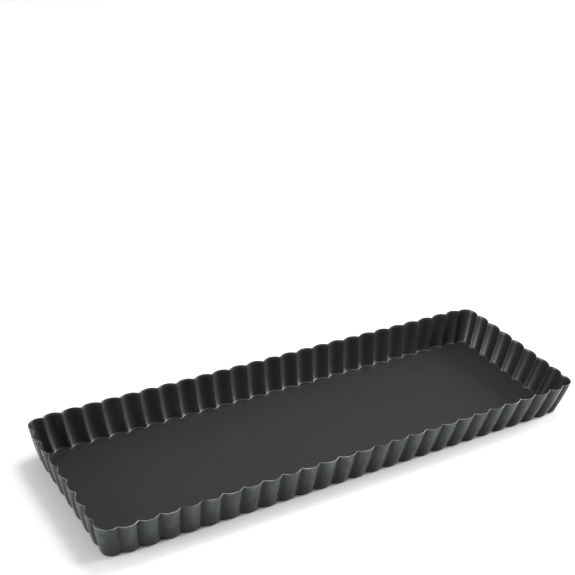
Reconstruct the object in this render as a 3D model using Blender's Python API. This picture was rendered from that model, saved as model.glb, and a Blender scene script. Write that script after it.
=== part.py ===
"""Long rectangular fluted tart pan with a loose bottom.

Two pieces of pressed sheet steel make the whole pan: a fluted frame with a narrow
flange turned in under it, and a flat bottom plate that lies loose on that flange.
Metres, +Z up. The origin is the middle of the footprint, on the table.
"""

import math

import bmesh
import bpy

# Frame, measured over the flutes at the rim
LENGTH = 0.356
WIDTH = 0.120
HEIGHT = 0.025
SHEET = 0.0006

# Flutes: arcs that bulge outwards and meet in grooves
LONG_SIDE_FLUTES = 25
SHORT_SIDE_FLUTES = 7
FLUTE_DEPTH = 0.0026
END_FLUTE_SHARE = 0.91  # the flute beside a corner is a little narrower than the rest

# Corner bulges: the span between the last groove of each side and the corner, at rim and foot
CORNER_SPAN_RIM = (0.0097, 0.0117)
CORNER_SPAN_FOOT = (0.0080, 0.0092)
CORNER_BULGE = 0.0060

# Walls: they lean out from foot to rim, a little more steeply near the foot
FLARE = (0.0065, 0.0060)
FLARE_BOW = 0.30
BEND_RADIUS = 0.0016  # outside radius where the wall turns into the flange
WALL_STEPS = 3

# Flange opening, through which the bottom plate is pushed up
OPENING_LENGTH = 0.307
OPENING_WIDTH = 0.070
OPENING_CORNER = 0.010

# Bottom plate
PLATE_LENGTH = 0.333
PLATE_WIDTH = 0.0972
PLATE_THICKNESS = 0.0008
PLATE_CORNER = 0.0155
REST_GAP = 0.0003  # air left between the plate and the flange it lies on

# Fineness of the faceted curves
FLUTE_STEPS = 4
CORNER_STEPS = 8
BEND_STEPS = 2

SMOOTH_ANGLE = math.radians(35)


def clear_scene():
    for old in list(bpy.data.objects):
        bpy.data.objects.remove(old)


def coated_steel(name, colour, roughness):
    """Dark non-stick coating, baked on sheet steel."""
    material = bpy.data.materials.new(name)
    material.use_nodes = True
    shader = material.node_tree.nodes["Principled BSDF"]
    shader.inputs["Base Color"].default_value = (*colour, 1.0)
    shader.inputs["Roughness"].default_value = roughness
    shader.inputs["Metallic"].default_value = 0.0
    return material


def arc(start, end, bulge, steps):
    """Points from start up to, but not with, end on an arc that bulges to the right of the walk."""
    half = math.dist(start, end) / 2
    along = ((end[0] - start[0]) / (2 * half), (end[1] - start[1]) / (2 * half))
    out = (along[1], -along[0])
    radius = (bulge**2 + half**2) / (2 * bulge)
    sweep = math.asin(min(1.0, half / radius))
    if bulge > radius:
        sweep = math.pi - sweep
    middle = ((start[0] + end[0]) / 2, (start[1] + end[1]) / 2)
    centre = tuple(m + o * (bulge - radius) for m, o in zip(middle, out))
    points = []
    for step in range(steps):
        turn = sweep * (2 * step / steps - 1)
        points.append(
            tuple(
                c + radius * (math.sin(turn) * a + math.cos(turn) * o)
                for c, a, o in zip(centre, along, out)
            )
        )
    return points


def groove_places(flutes, half):
    """Where the grooves of one side lie, from -half to half."""
    widths = [1.0] * flutes
    widths[0] = widths[-1] = END_FLUTE_SHARE
    places = [-half]
    for width in widths:
        places.append(places[-1] + width * 2 * half / sum(widths))
    return places


def fluted_loop(share, inset, z):
    """Closed loop round the wall. share runs from 0 at the foot to 1 at the rim."""
    half_x = LENGTH / 2 - FLUTE_DEPTH - FLARE[0] * (1 - share) - inset
    half_y = WIDTH / 2 - FLUTE_DEPTH - FLARE[1] * (1 - share) - inset
    span_x, span_y = (
        foot + (rim - foot) * share
        for foot, rim in zip(CORNER_SPAN_FOOT, CORNER_SPAN_RIM)
    )
    grooves_x = groove_places(LONG_SIDE_FLUTES, half_x - span_x)
    grooves_y = groove_places(SHORT_SIDE_FLUTES, half_y - span_y)
    corners = [(x, -half_y) for x in grooves_x]
    corners += [(half_x, y) for y in grooves_y]
    corners += [(-x, half_y) for x in grooves_x]
    corners += [(-half_x, -y) for y in grooves_y]
    last_grooves = set()
    count = 0
    for side in (grooves_x, grooves_y, grooves_x, grooves_y):
        count += len(side)
        last_grooves.add(count - 1)
    loop = []
    for place, start in enumerate(corners):
        end = corners[(place + 1) % len(corners)]
        if place in last_grooves:
            loop += arc(start, end, CORNER_BULGE, CORNER_STEPS)
        else:
            loop += arc(start, end, FLUTE_DEPTH, FLUTE_STEPS)
    return [(x, y, z) for x, y in loop]


def opening_loop(z):
    """The flange's inner edge, a round-cornered rectangle with one point for each of a fluted loop."""
    flat_x = OPENING_LENGTH / 2 - OPENING_CORNER
    flat_y = OPENING_WIDTH / 2 - OPENING_CORNER
    centres = ((flat_x, -flat_y), (flat_x, flat_y), (-flat_x, flat_y), (-flat_x, -flat_y))
    side_steps = (LONG_SIDE_FLUTES * FLUTE_STEPS, SHORT_SIDE_FLUTES * FLUTE_STEPS) * 2
    loop = []
    for quarter, (centre, steps) in enumerate(zip(centres, side_steps)):
        before = centres[quarter - 1]
        facing = math.pi / 2 * (quarter - 1)
        off_x = OPENING_CORNER * math.cos(facing)
        off_y = OPENING_CORNER * math.sin(facing)
        for step in range(steps):
            part = step / steps
            x = before[0] + (centre[0] - before[0]) * part
            y = before[1] + (centre[1] - before[1]) * part
            loop.append((x + off_x, y + off_y, z))
        for step in range(CORNER_STEPS):
            turn = facing + math.pi / 2 * step / CORNER_STEPS
            x = centre[0] + OPENING_CORNER * math.cos(turn)
            y = centre[1] + OPENING_CORNER * math.sin(turn)
            loop.append((x, y, z))
    return loop


def flare_share(z):
    """How much of the wall's lean is reached at this height."""
    height = z / HEIGHT
    return (1 + FLARE_BOW) * height - FLARE_BOW * height**2


def skin_loops(inside):
    """Loops up one face of the sheet, from the opening to the rim."""
    radius = BEND_RADIUS - inside
    loops = [opening_loop(inside)]
    for step in range(BEND_STEPS + 1):
        turn = math.pi / 2 * step / BEND_STEPS
        z = BEND_RADIUS - radius * math.cos(turn)
        inset = BEND_RADIUS - radius * math.sin(turn)
        loops.append(fluted_loop(flare_share(z), inset, z))
    for step in range(1, WALL_STEPS + 1):
        z = BEND_RADIUS + (HEIGHT - BEND_RADIUS) * step / WALL_STEPS
        loops.append(fluted_loop(flare_share(z), inside, z))
    return loops


def loft(name, loops):
    """A closed ring of skin through the loops and back to the first."""
    mesh = bpy.data.meshes.new(name)
    shape = bmesh.new()
    rows = [[shape.verts.new(point) for point in loop] for loop in loops]
    for place, row in enumerate(rows):
        above = rows[(place + 1) % len(rows)]
        for here in range(len(row)):
            after = (here + 1) % len(row)
            shape.faces.new((row[here], row[after], above[after], above[here]))
    bmesh.ops.recalc_face_normals(shape, faces=shape.faces)
    shape.to_mesh(mesh)
    shape.free()
    return mesh


def plate_mesh(name):
    """Flat blank with round corners, its underside at z = 0."""
    flat_x = PLATE_LENGTH / 2 - PLATE_CORNER
    flat_y = PLATE_WIDTH / 2 - PLATE_CORNER
    centres = ((flat_x, -flat_y), (flat_x, flat_y), (-flat_x, flat_y), (-flat_x, -flat_y))
    shape = bmesh.new()
    edge = []
    for quarter, centre in enumerate(centres):
        for step in range(CORNER_STEPS + 1):
            turn = math.pi / 2 * (quarter - 1 + step / CORNER_STEPS)
            x = centre[0] + PLATE_CORNER * math.cos(turn)
            y = centre[1] + PLATE_CORNER * math.sin(turn)
            edge.append(shape.verts.new((x, y, 0.0)))
    blank = shape.faces.new(edge)
    raised = bmesh.ops.extrude_face_region(shape, geom=[blank], use_keep_orig=True)
    top = [item for item in raised["geom"] if isinstance(item, bmesh.types.BMVert)]
    bmesh.ops.translate(shape, verts=top, vec=(0.0, 0.0, PLATE_THICKNESS))
    bmesh.ops.recalc_face_normals(shape, faces=shape.faces)
    mesh = bpy.data.meshes.new(name)
    shape.to_mesh(mesh)
    shape.free()
    return mesh


def add_piece(name, mesh, material, parent, location):
    piece = bpy.data.objects.new(name, mesh)
    bpy.context.scene.collection.objects.link(piece)
    mesh.materials.append(material)
    mesh.shade_smooth()
    mesh.set_sharp_from_angle(angle=SMOOTH_ANGLE)
    piece.parent = parent
    piece.location = location
    return piece


def add_fluted_frame(pan):
    outside = skin_loops(0.0)
    inside = skin_loops(SHEET)
    mesh = loft("fluted_frame", outside + inside[::-1])
    coating = coated_steel("frame_coating", (0.045, 0.045, 0.047), 0.38)
    return add_piece("fluted_frame", mesh, coating, pan, (0.0, 0.0, 0.0))


def add_loose_bottom(pan):
    coating = coated_steel("bottom_coating", (0.052, 0.051, 0.050), 0.5)
    rest = (0.0, 0.0, SHEET + REST_GAP)
    return add_piece("loose_bottom", plate_mesh("loose_bottom"), coating, pan, rest)


def build():
    clear_scene()
    pan = bpy.data.objects.new("tart_pan", None)
    bpy.context.scene.collection.objects.link(pan)
    add_fluted_frame(pan)
    add_loose_bottom(pan)


build()
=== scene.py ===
"""Looks of a long rectangular fluted tart pan with a loose bottom: the pressed frame, the bottom plate
that lies in it, and a plain studio table under soft light. Metres, +Z up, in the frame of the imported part.
"""

import math

import bmesh
import bpy
import numpy as np
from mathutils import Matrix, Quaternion, Vector


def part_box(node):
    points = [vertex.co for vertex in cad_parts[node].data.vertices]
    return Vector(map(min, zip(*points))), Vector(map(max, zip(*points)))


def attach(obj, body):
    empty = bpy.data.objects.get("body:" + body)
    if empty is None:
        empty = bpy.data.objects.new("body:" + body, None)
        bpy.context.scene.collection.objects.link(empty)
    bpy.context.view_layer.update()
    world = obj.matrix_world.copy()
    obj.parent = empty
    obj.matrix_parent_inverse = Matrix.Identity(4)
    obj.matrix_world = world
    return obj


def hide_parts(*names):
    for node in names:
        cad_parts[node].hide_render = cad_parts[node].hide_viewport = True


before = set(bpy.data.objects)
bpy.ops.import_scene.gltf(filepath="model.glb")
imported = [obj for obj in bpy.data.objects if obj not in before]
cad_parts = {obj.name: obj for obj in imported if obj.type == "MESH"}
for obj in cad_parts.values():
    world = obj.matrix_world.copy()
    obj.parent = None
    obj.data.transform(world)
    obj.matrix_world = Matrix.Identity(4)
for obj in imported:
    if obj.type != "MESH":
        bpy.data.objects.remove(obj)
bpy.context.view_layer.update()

# ---------------------------------------------------------------------------------------------------------
# Fluted frame: one blank of 0.6 mm cold-rolled steel, blanked, drawn and fluted in a press, with the flange
# left inside it and the rim trimmed square. The outside has a cool dark silicone polyester coat and the
# inside a warmer satin non-stick one; the trimmed rim and the punched opening show the steel.
# ---------------------------------------------------------------------------------------------------------

frame_low, frame_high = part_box("fluted_frame")
length = frame_high.x - frame_low.x
width = frame_high.y - frame_low.y
height = frame_high.z

sheet = 0.0006
flute_depth = 0.0026
long_side_flutes, short_side_flutes = 25, 7
end_flute_share = 0.91  # the flute beside a corner is narrower
corner_bulge = 0.0060
corner_span_rim = complex(0.0097, 0.0117)
corner_span_foot = complex(0.0080, 0.0092)
lean = complex(0.0065, 0.0060)  # how far the wall leans out from foot to rim, along x and along y
lean_bow = 0.30  # the share of the lean by which it is steeper at the foot than on average
bend_radius = 0.0016
trim_round = 0.00012
# The press rounds the grooves more at the foot than at the rim: a spread, in steps of about 0.6 mm.
groove_round_foot, groove_round_rim = 1.3, 0.55
groove_round_reach = 4
press_wander = 0.00012  # how far the pressed wall strays in and out at the rim

opening_length = 0.307
opening_width = 0.070
opening_corner = 0.010

flute_steps, corner_steps = 24, 36
wall_levels, bend_levels, flange_levels = 11, 8, 4


def arc(start, end, bulge, steps):
    """Points from start up to, but not with, end on an arc that bulges to the right of the walk."""
    half = abs(end - start) / 2
    along = (end - start) / (2 * half)
    radius = (bulge**2 + half**2) / (2 * bulge)
    sweep = math.asin(min(1.0, half / radius))
    if bulge > radius:
        sweep = math.pi - sweep
    turns = sweep * (2 * np.arange(steps) / steps - 1)
    centre = (start + end) / 2 - 1j * along * (bulge - radius)
    return centre + radius * along * (np.sin(turns) - 1j * np.cos(turns))


def groove_places(flutes, half):
    """Where the grooves of one side lie, from -half to half."""
    widths = np.ones(flutes)
    widths[[0, -1]] = end_flute_share
    places = np.concatenate([[0.0], np.cumsum(widths)])
    return half * (2 * places / places[-1] - 1)


def groove_lines(share):
    """The grooves of the four sides in plan, each side as points in the order of the walk round the pan."""
    half = complex(length, width) / 2 - complex(flute_depth, flute_depth) - lean * (1 - share)
    span = corner_span_foot + (corner_span_rim - corner_span_foot) * share
    along_x = groove_places(long_side_flutes, half.real - span.real)
    along_y = groove_places(short_side_flutes, half.imag - span.imag)
    return (
        along_x - 1j * half.imag,
        half.real + 1j * along_y,
        -along_x + 1j * half.imag,
        -half.real - 1j * along_y,
    )


def wall_line(share, inset):
    """The wall's outline in plan, share 0 at the foot and 1 at the rim, moved inwards by inset."""
    sides = groove_lines(share)
    line = []
    for place, side in enumerate(sides):
        for start, end in zip(side, side[1:]):
            line.append(arc(start, end, flute_depth, flute_steps))
        line.append(arc(side[-1], sides[(place + 1) % 4][0], corner_bulge, corner_steps))
    line = np.concatenate(line)
    reach = range(-groove_round_reach, groove_round_reach + 1)
    spread = groove_round_foot + (groove_round_rim - groove_round_foot) * share
    weights = np.array([math.exp(-((step / spread) ** 2) / 2) for step in reach])
    line = sum(np.roll(line, step) * weight for step, weight in zip(reach, weights)) / weights.sum()
    run = np.roll(line, -1) - np.roll(line, 1)
    inwards = 1j * run / abs(run)
    round_trip = 2 * math.pi * np.arange(len(line)) / len(line)
    wander = np.sin(5 * round_trip + 0.7) + 0.6 * np.sin(11 * round_trip + 2.1)
    return line + inwards * (inset - press_wander * share * wander)


def round_rectangle(half, radius, side_steps, turn_steps):
    """A round-cornered rectangle in plan, from half its sides and the steps on each side and each turn."""
    middles = half - complex(radius, radius)
    corners = [middles.conjugate(), middles, -middles.conjugate(), -middles]
    line = []
    for quarter, corner in enumerate(corners):
        facing = -1j * 1j**quarter
        steps = side_steps[quarter % 2]
        share = np.arange(steps) / steps
        line.append(corners[quarter - 1] * (1 - share) + corner * share + radius * facing)
        turn = np.arange(turn_steps) / turn_steps * math.pi / 2
        line.append(corner + radius * facing * np.exp(1j * turn))
    return np.concatenate(line)


def opening_line(outset):
    """The punched opening in plan, with one point for each of the wall's, moved outwards by outset."""
    return round_rectangle(
        complex(opening_length, opening_width) / 2 + complex(outset, outset),
        opening_corner + outset,
        (long_side_flutes * flute_steps, short_side_flutes * flute_steps),
        corner_steps,
    )


def lean_share(z):
    """How much of the wall's lean is reached at this height."""
    return (1 + lean_bow) * z / height - lean_bow * (z / height) ** 2


corner_cut = 0.3  # how far the middle of an edge's rounding is cut back, as a share of its radius
foot_slope = abs(lean) / math.sqrt(2) * (1 + lean_bow) / height
wall_turn = math.pi / 2 - math.atan(foot_slope)
bend_reach = bend_radius * math.tan(wall_turn / 2)


def skin(is_inside):
    """Rows of (outline in plan, height) up one face of the sheet, from the opening's edge to the rim."""
    face = sheet if is_inside else 0.0
    away = -trim_round if is_inside else trim_round
    edge = opening_line(trim_round)
    rows = [
        (opening_line(0.0), face + away),
        (opening_line(trim_round * corner_cut), face + away * corner_cut),
        (edge, face),
    ]
    radius = bend_radius - face
    for level in range(bend_levels + 1):
        turn = wall_turn * level / bend_levels
        z = bend_radius - radius * math.cos(turn)
        line = wall_line(lean_share(z), bend_reach - radius * math.sin(turn) + foot_slope * z)
        if level == 0:
            for part in range(1, flange_levels):
                rows.append((edge + (line - edge) * part / flange_levels, face))
        rows.append((line, z))
    bend_top = rows[-1][1]
    for level in range(1, wall_levels + 1):
        z = bend_top + (height - trim_round - bend_top) * level / wall_levels
        slope = foot_slope * (1 + lean_bow - 2 * lean_bow * z / height) / (1 + lean_bow)
        rows.append((wall_line(lean_share(z), face * math.hypot(1, slope)), z))
    rows.append((wall_line(1.0, face + away * corner_cut), height - trim_round * corner_cut))
    rows.append((wall_line(1.0, face + away), height))
    return rows


def loft(name, rows, materials):
    """A closed skin through the rows and back to the first, with a material's number for each row."""
    shape = bmesh.new()
    rings = [[shape.verts.new((p.real, p.imag, z)) for p in line] for line, z in rows]
    for place, ring in enumerate(rings):
        after = rings[(place + 1) % len(rings)]
        for here in range(len(ring)):
            there = (here + 1) % len(ring)
            face = shape.faces.new((ring[here], ring[there], after[there], after[here]))
            face.smooth = True
            face.material_index = materials[place]
    bmesh.ops.recalc_face_normals(shape, faces=shape.faces)
    mesh = bpy.data.meshes.new(name)
    shape.to_mesh(mesh)
    shape.free()
    return mesh


def mark(mesh, name, shares):
    """Keeps a share from 0 to 1 for each point: how much it is rubbed, or how deep it lies in a groove,
    where shade is painted.
    """
    mesh.attributes.new(name, "FLOAT", "POINT").data.foreach_set("value", shares)


outer = skin(False)
inner = skin(True)
rows = outer + inner[::-1]
outer_face, inner_face, cut_edge = 0, 1, 2
row_materials = [outer_face] * len(outer) + [inner_face] * len(inner)
rim_rows = (len(outer) - 2, len(outer) - 1, len(outer))
opening_rows = (len(rows) - 2, len(rows) - 1, 0)
for place in rim_rows + opening_rows:
    row_materials[place] = cut_edge
frame_mesh = loft("pressed_frame", rows, row_materials)

flute_crests = np.sin(math.pi * np.arange(flute_steps) / flute_steps)
corner_crests = np.sin(math.pi * np.arange(corner_steps) / corner_steps)
crests = []  # from 0 in a groove to 1 on a flute's crest, for each point of a row
for flutes in (long_side_flutes, short_side_flutes) * 2:
    crests += [flute_crests] * flutes + [corner_crests]
crests = np.concatenate(crests)
rim_wear, foot_wear = 0.0012, 0.0006  # how far wear reaches down from the rim and up from the foot
rubbed, groove_shades = [], []
for place, (line, z) in enumerate(rows):
    is_outside = place < len(outer)
    standing_out = crests**4 if is_outside else (1 - crests) ** 4
    at_rim = max(0.0, 1 - (height - z) / rim_wear)
    at_foot = 0.9 * max(0.0, 1 - z / foot_wear) if is_outside else 0.0
    on_wall = min(1.0, z / bend_radius)
    rubbed.append(np.clip(0.55 * standing_out * on_wall + at_rim + at_foot, 0.0, 1.0))
    # Painted shade: the outside's grooves are darkened, the deeper in the groove the darker.
    groove_shades.append((1 - crests) ** 2.2 * on_wall if is_outside else np.zeros(len(line)))
mark(frame_mesh, "rubbed", np.concatenate(rubbed))
mark(frame_mesh, "groove_shade", np.concatenate(groove_shades))


def add_node(tree, kind, inputs=None, **settings):
    """Adds a shader node, with its settings, and with values or other nodes' outputs in its sockets."""
    made = tree.nodes.new("ShaderNode" + kind)
    for name, value in settings.items():
        setattr(made, name, value)
    for socket, value in (inputs or {}).items():
        if isinstance(value, bpy.types.NodeSocket):
            tree.links.new(value, made.inputs[socket])
        else:
            made.inputs[socket].default_value = value
    return made


def srgb(code):
    """An sRGB hex colour as the linear values that shaders take."""
    values = [int(code[place : place + 2], 16) / 255 for place in (1, 3, 5)]
    return [v / 12.92 if v <= 0.04045 else ((v + 0.055) / 1.055) ** 2.4 for v in values] + [1.0]


def new_material(name):
    """A material with its node tree and its shader."""
    material = bpy.data.materials.new(name)
    material.use_nodes = True
    tree = material.node_tree
    return material, tree, tree.nodes["Principled BSDF"]


mix_from, mix_to, mix_colour = 6, 7, 2  # a Mix node's colour sockets, in and out


def baked_non_stick(name, dark, light, worn, roughness, ior, foot_shade_height):
    """Non-stick coating, rolled on the sheet and baked. It gives a nearly black, smooth surface with a very
    fine orange peel, a soft cloudiness, sparse pale mineral flecks, and paler, shinier ridges where it is
    rubbed. Its colour is painted darker from the foot up to a given height and in the grooves: painted
    shade.
    The flecks are drawn at 0.8 mm, about four times too coarse, so that they show at all."""
    cloud_size, fleck_size, peel_size, patch_size = 0.028, 0.0008, 0.0016, 0.007
    draw_mark_width, draw_mark_length = 0.0011, 0.022
    scuff_length, scuff_width, scuff_depth = 0.03, 0.0005, 0.004
    scuff_angle = math.radians(24)
    draw_mark_bump, peel_bump = 0.000006, 0.000014
    # where the painted shade at the foot starts, and how far its upper edge wanders
    foot_shade_start, foot_shade_wander = 0.001, 0.004
    flat_part_top = 0.0025
    material, tree, shader = new_material(name)
    place = add_node(tree, "TexCoord").outputs["Object"]
    cloud = add_node(tree, "TexNoise", {"Vector": place, "Scale": 1 / cloud_size, "Detail": 3.0})
    flecks = add_node(tree, "TexNoise", {"Vector": place, "Scale": 1 / fleck_size, "Detail": 1.0})
    orange_peel = add_node(tree, "TexNoise", {"Vector": place, "Scale": 1 / peel_size, "Detail": 1.0})
    upright_scale = (1 / draw_mark_width, 1 / draw_mark_width, 1 / draw_mark_length)
    upright = add_node(tree, "Mapping", {"Vector": place, "Scale": upright_scale})
    draw_marks = add_node(
        tree, "TexNoise", {"Vector": upright.outputs["Vector"], "Scale": 1.0, "Detail": 2.0}
    )
    slanted_scale = (1 / scuff_length, 1 / scuff_width, 1 / scuff_depth)
    slanted = add_node(
        tree,
        "Mapping",
        {"Vector": place, "Rotation": (0.0, 0.0, scuff_angle), "Scale": slanted_scale},
    )
    hairlines = add_node(
        tree, "TexNoise", {"Vector": slanted.outputs["Vector"], "Scale": 1.0, "Detail": 1.0}
    )
    patches = add_node(tree, "TexNoise", {"Vector": place, "Scale": 1 / patch_size, "Detail": 1.0})

    pale_flecks = add_node(
        tree,
        "MapRange",
        {"Value": flecks.outputs["Fac"], "From Min": 0.67, "From Max": 0.75, "To Max": 0.08},
    )
    scuffs = add_node(
        tree,
        "MapRange",
        {"Value": hairlines.outputs["Fac"], "From Min": 0.66, "From Max": 0.76, "To Max": 0.08},
    )
    ridge = add_node(tree, "Attribute", attribute_name="rubbed")
    patchy = add_node(
        tree,
        "MapRange",
        {"Value": patches.outputs["Fac"], "From Min": 0.3, "From Max": 0.7, "To Max": 0.55},
    )
    wear = add_node(
        tree, "Math", {0: ridge.outputs["Fac"], 1: patchy.outputs["Result"]}, operation="MULTIPLY"
    )

    tone = add_node(
        tree,
        "Mix",
        {"Factor": cloud.outputs["Fac"], mix_from: srgb(dark), mix_to: srgb(light)},
        data_type="RGBA",
    )
    flecked = add_node(
        tree,
        "Mix",
        {
            "Factor": pale_flecks.outputs["Result"],
            mix_from: tone.outputs[mix_colour],
            mix_to: srgb("#8f8d8a"),
        },
        data_type="RGBA",
    )
    rubbed_tone = add_node(
        tree,
        "Mix",
        {"Factor": wear.outputs[0], mix_from: flecked.outputs[mix_colour], mix_to: srgb(worn)},
        data_type="RGBA",
    )
    # Painted shade: the colour is darkened from the foot upwards, with a wandering upper edge.
    level = add_node(tree, "SeparateXYZ", {"Vector": place})
    uneven = add_node(
        tree,
        "Math",
        {0: patches.outputs["Fac"], 1: foot_shade_wander, 2: level.outputs["Z"]},
        operation="MULTIPLY_ADD",
    )
    above_foot_shade = add_node(
        tree,
        "MapRange",
        {"Value": uneven.outputs[0], "From Min": foot_shade_start, "From Max": foot_shade_start + foot_shade_height},
        interpolation_type="SMOOTHSTEP",
    )
    # Painted shade in the outside's grooves, nearly to black at their bottom.
    groove_shade = add_node(tree, "Attribute", attribute_name="groove_shade")
    open_face = add_node(tree, "MapRange", {"Value": groove_shade.outputs["Fac"], "To Min": 1.0, "To Max": 0.05})
    unshaded_share = add_node(
        tree, "Math", {0: above_foot_shade.outputs["Result"], 1: open_face.outputs["Result"]}, operation="MULTIPLY"
    )
    # Painted shade: towards the foot and in the grooves the colour goes to near black.
    shaded_tone = add_node(
        tree,
        "Mix",
        {"Factor": unshaded_share.outputs[0], mix_from: srgb("#08080a"), mix_to: rubbed_tone.outputs[mix_colour]},
        data_type="RGBA",
    )
    tree.links.new(shaded_tone.outputs[mix_colour], shader.inputs["Base Color"])

    clouded = add_node(
        tree,
        "MapRange",
        {"Value": cloud.outputs["Fac"], "To Min": roughness - 0.05, "To Max": roughness + 0.07},
    )
    marked = add_node(
        tree,
        "Math",
        {0: draw_marks.outputs["Fac"], 1: 0.10, 2: clouded.outputs["Result"]},
        operation="MULTIPLY_ADD",
    )
    flat_part = add_node(tree, "Math", {0: level.outputs["Z"], 1: flat_part_top}, operation="LESS_THAN")
    scuffed = add_node(
        tree,
        "Math",
        {0: scuffs.outputs["Result"], 1: flat_part.outputs[0], 2: marked.outputs[0]},
        operation="MULTIPLY_ADD",
    )
    polished = add_node(
        tree, "Math", {0: wear.outputs[0], 1: -0.15, 2: scuffed.outputs[0]}, operation="MULTIPLY_ADD"
    )
    tree.links.new(polished.outputs[0], shader.inputs["Roughness"])
    shader.inputs["IOR"].default_value = ior

    marks = add_node(
        tree, "Bump", {"Height": draw_marks.outputs["Fac"], "Distance": draw_mark_bump, "Strength": 1.0}
    )
    skin_bump = add_node(
        tree,
        "Bump",
        {
            "Height": orange_peel.outputs["Fac"],
            "Distance": peel_bump,
            "Strength": 1.0,
            "Normal": marks.outputs["Normal"],
        },
    )
    tree.links.new(skin_bump.outputs["Normal"], shader.inputs["Normal"])
    return material


def trimmed_steel(name):
    """Cold-rolled steel where the press trimmed it, half covered by coating that ran over the edge. It gives
    a thin broken line, from bright metal to dark."""
    material, tree, shader = new_material(name)
    place = add_node(tree, "TexCoord").outputs["Object"]
    lap_size = 0.009
    lap = add_node(
        tree,
        "TexNoise",
        {"Vector": place, "Scale": 1 / lap_size, "Detail": 4.0, "Roughness": 0.6},
    )
    coated = add_node(
        tree, "MapRange", {"Value": lap.outputs["Fac"], "From Min": 0.42, "From Max": 0.62}
    )
    tone = add_node(
        tree,
        "Mix",
        {"Factor": coated.outputs["Result"], mix_from: srgb("#8e8c89"), mix_to: srgb("#454443")},
        data_type="RGBA",
    )
    tree.links.new(tone.outputs[mix_colour], shader.inputs["Base Color"])
    drag = add_node(
        tree, "MapRange", {"Value": lap.outputs["Fac"], "To Min": 0.25, "To Max": 0.55}
    )
    tree.links.new(drag.outputs["Result"], shader.inputs["Roughness"])
    shader.inputs["Metallic"].default_value = 1.0
    return material


pressed_frame = bpy.data.objects.new("pressed_frame", frame_mesh)
bpy.context.scene.collection.objects.link(pressed_frame)
# The outside is painted darker towards its foot, as painted shade.
outer_coat = baked_non_stick("silicone_polyester", "#24282a", "#34383c", "#666d71", 0.22, 1.3, 0.026)
# A thin haze of baked-on oil lies over the outside, and lightens it where it turns away from the eye.
haze = outer_coat.node_tree.nodes["Principled BSDF"].inputs
haze["Sheen Weight"].default_value = 0.22
haze["Sheen Roughness"].default_value = 0.2
haze["Sheen Tint"].default_value = srgb("#c4d0d8")
# The inside and the plate get no painted shade at the foot.
no_foot_shade = 0.0001
inner_coat = baked_non_stick("satin_non_stick", "#201e1d", "#2c2927", "#4b4845", 0.27, 1.5, no_foot_shade)
frame_mesh.materials.append(outer_coat)
frame_mesh.materials.append(inner_coat)
frame_mesh.materials.append(trimmed_steel("trimmed_steel"))
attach(pressed_frame, "frame")
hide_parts("fluted_frame")

# ---------------------------------------------------------------------------------------------------------
# Loose bottom: a blank of 0.8 mm sheet steel with round corners, sheared and coated all over. It lies free
# on the flange and is a little crowned, as flat sheet is after baking.
# ---------------------------------------------------------------------------------------------------------

plate_low, plate_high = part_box("loose_bottom")
plate_half = complex(plate_high.x, plate_high.y)
plate_corner = 0.0155
plate_crown = 0.00025
plate_edge_round = 0.00012
plate_rings = 14
plate_side_steps, plate_turn_steps = (64, 18), 14
plate_middle = 0.35  # the width of the flat left inside the innermost ring, in rings
plate_edge_wear = 0.0015


def plate_line(share, inset):
    """The plate's outline in plan; share shrinks it from 1 at the edge towards the plate's middle line."""
    moved_in = plate_half.imag * (1 - share) + inset
    half = plate_half - complex(moved_in, moved_in)
    radius = max(plate_corner * share - inset, 0.0)
    return round_rectangle(half, radius, plate_side_steps, plate_turn_steps)


def plate_surface(line, base):
    """Heights over the outline with the plate's crown on top of base."""
    along = line.real / plate_half.real
    across = line.imag / plate_half.imag
    return base + plate_crown * (1 - along**2) * (1 - across**2)


def plate_mesh(name):
    """The plate as rings from the middle of its underside, round its softened edge, to the middle on top."""
    shape = bmesh.new()
    bottom = plate_low.z
    top = plate_high.z
    profile = []
    for ring in range(plate_rings, 0, -1):
        profile.append((1 - ring / (plate_rings + plate_middle), 0.0, bottom))
    profile.append((1.0, plate_edge_round, bottom))
    profile.append((1.0, plate_edge_round * corner_cut, bottom + plate_edge_round * corner_cut))
    profile.append((1.0, 0.0, bottom + plate_edge_round))
    profile.append((1.0, 0.0, top - plate_edge_round))
    profile.append((1.0, plate_edge_round * corner_cut, top - plate_edge_round * corner_cut))
    profile.append((1.0, plate_edge_round, top))
    for ring in range(1, plate_rings + 1):
        profile.append((1 - ring / (plate_rings + plate_middle), 0.0, top))
    rings = []
    for share, inset, z in profile:
        line = plate_line(share, inset)
        heights = plate_surface(line, z)
        rings.append([shape.verts.new((p.real, p.imag, h)) for p, h in zip(line, heights)])
    for ring, after in zip(rings, rings[1:]):
        for here in range(len(ring)):
            there = (here + 1) % len(ring)
            shape.faces.new((ring[here], ring[there], after[there], after[here]))
    shape.faces.new(rings[0][::-1])
    shape.faces.new(rings[-1])
    for face in shape.faces:
        face.smooth = True
    bmesh.ops.recalc_face_normals(shape, faces=shape.faces)
    mesh = bpy.data.meshes.new(name)
    shape.to_mesh(mesh)
    shape.free()
    by_edge = []
    for share, _, _ in profile:
        from_edge = (1 - share) * plate_half.imag
        by_edge.append(0.8 * max(0.0, 1 - from_edge / plate_edge_wear))
    mark(mesh, "rubbed", np.repeat(by_edge, len(rings[0])))
    mark(mesh, "groove_shade", np.zeros(len(mesh.vertices)))
    return mesh


bottom_mesh = plate_mesh("bottom_plate")
bottom_plate = bpy.data.objects.new("bottom_plate", bottom_mesh)
bpy.context.scene.collection.objects.link(bottom_plate)
plate_coat = baked_non_stick("matte_non_stick", "#191718", "#1f1d1e", "#3e3b3a", 0.52, 1.33, no_foot_shade)
bottom_mesh.materials.append(plate_coat)
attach(bottom_plate, "bottom")
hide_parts("loose_bottom")

# ---------------------------------------------------------------------------------------------------------
# Table: a plain, flat, matt white table that runs far past the pan, so that nothing else is seen. It lies
# just under the pan's foot.
# ---------------------------------------------------------------------------------------------------------

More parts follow.
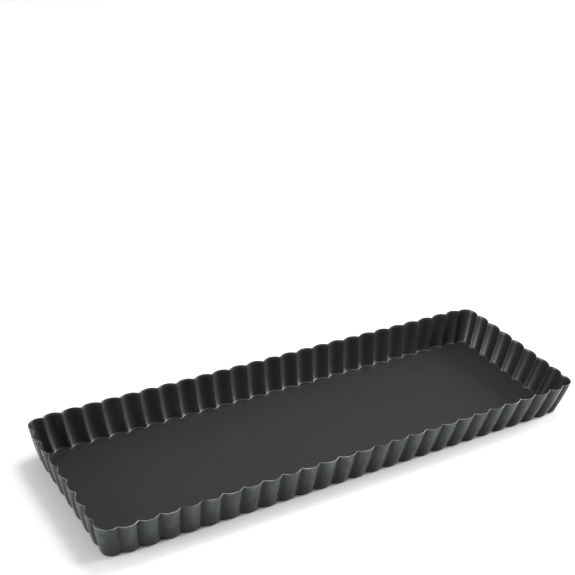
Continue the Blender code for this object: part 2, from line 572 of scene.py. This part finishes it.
table_half = 8.0
table_drop = 0.0002
table_shape = bmesh.new()
corners = [(-1, -1), (1, -1), (1, 1), (-1, 1)]
table_shape.faces.new(
    [table_shape.verts.new((x * table_half, y * table_half, -table_drop)) for x, y in corners]
)
table_mesh = bpy.data.meshes.new("table")
table_shape.to_mesh(table_mesh)
table_shape.free()
table = bpy.data.objects.new("table", table_mesh)
bpy.context.scene.collection.objects.link(table)
white_paper, paper_tree, paper_shader = new_material("matt_white_paper")
paper_shader.inputs["Base Color"].default_value = srgb("#f2f2f1")
paper_shader.inputs["Roughness"].default_value = 0.9
table_mesh.materials.append(white_paper)

# ---------------------------------------------------------------------------------------------------------
# Light: an even white room, a softbox high behind the pan, and one low at each side, the right one the
# stronger, so that each flute goes from dark to light.
# ---------------------------------------------------------------------------------------------------------

room = bpy.data.worlds.new("white_room")
room.use_nodes = True
room.node_tree.nodes["Background"].inputs["Color"].default_value = srgb("#ffffff")
room.node_tree.nodes["Background"].inputs["Strength"].default_value = 0.6
bpy.context.scene.world = room


def add_softbox(name, place, size, power):
    """A square softbox, its size in metres and its power in watts, turned towards the pan."""
    light = bpy.data.lights.new(name, "AREA")
    light.shape = "SQUARE"
    light.size = size
    light.energy = power
    lamp = bpy.data.objects.new(name, light)
    lamp.location = place
    lamp.rotation_mode = "QUATERNION"
    lamp.rotation_quaternion = (-Vector(place)).to_track_quat("-Z", "Y")
    bpy.context.scene.collection.objects.link(lamp)


add_softbox("overhead_softbox", (0.40, 0.35, 1.40), 0.5, 11.0)
add_softbox("left_softbox", (-1.35, -0.15, 0.45), 0.7, 12.0)
add_softbox("right_softbox", (1.35, -0.25, 0.50), 0.7, 30.0)

# ---------------------------------------------------------------------------------------------------------
# Camera: a short telephoto, above the pan and off its left front corner, rolled a little.
# ---------------------------------------------------------------------------------------------------------

camera_aim = Vector((0.0906, 0.1813, 0.0))
camera_azimuth = math.radians(-33.6)
camera_elevation = math.radians(28.0)
camera_distance = 0.934
camera_roll = math.radians(4.77)

back = Vector(
    (
        math.sin(camera_azimuth) * math.cos(camera_elevation),
        -math.cos(camera_azimuth) * math.cos(camera_elevation),
        math.sin(camera_elevation),
    )
)
lens = bpy.data.cameras.new("camera")
lens.sensor_width = 36.0
lens.lens = 71.3
lens.clip_start = 0.01
lens.clip_end = 50.0
camera = bpy.data.objects.new("camera", lens)
camera.location = camera_aim + back * camera_distance
camera.rotation_mode = "QUATERNION"
camera.rotation_quaternion = (-back).to_track_quat("-Z", "Y") @ Quaternion((0, 0, 1), camera_roll)
bpy.context.scene.collection.objects.link(camera)
bpy.context.scene.camera = camera
bpy.context.scene.view_settings.view_transform = "Standard"
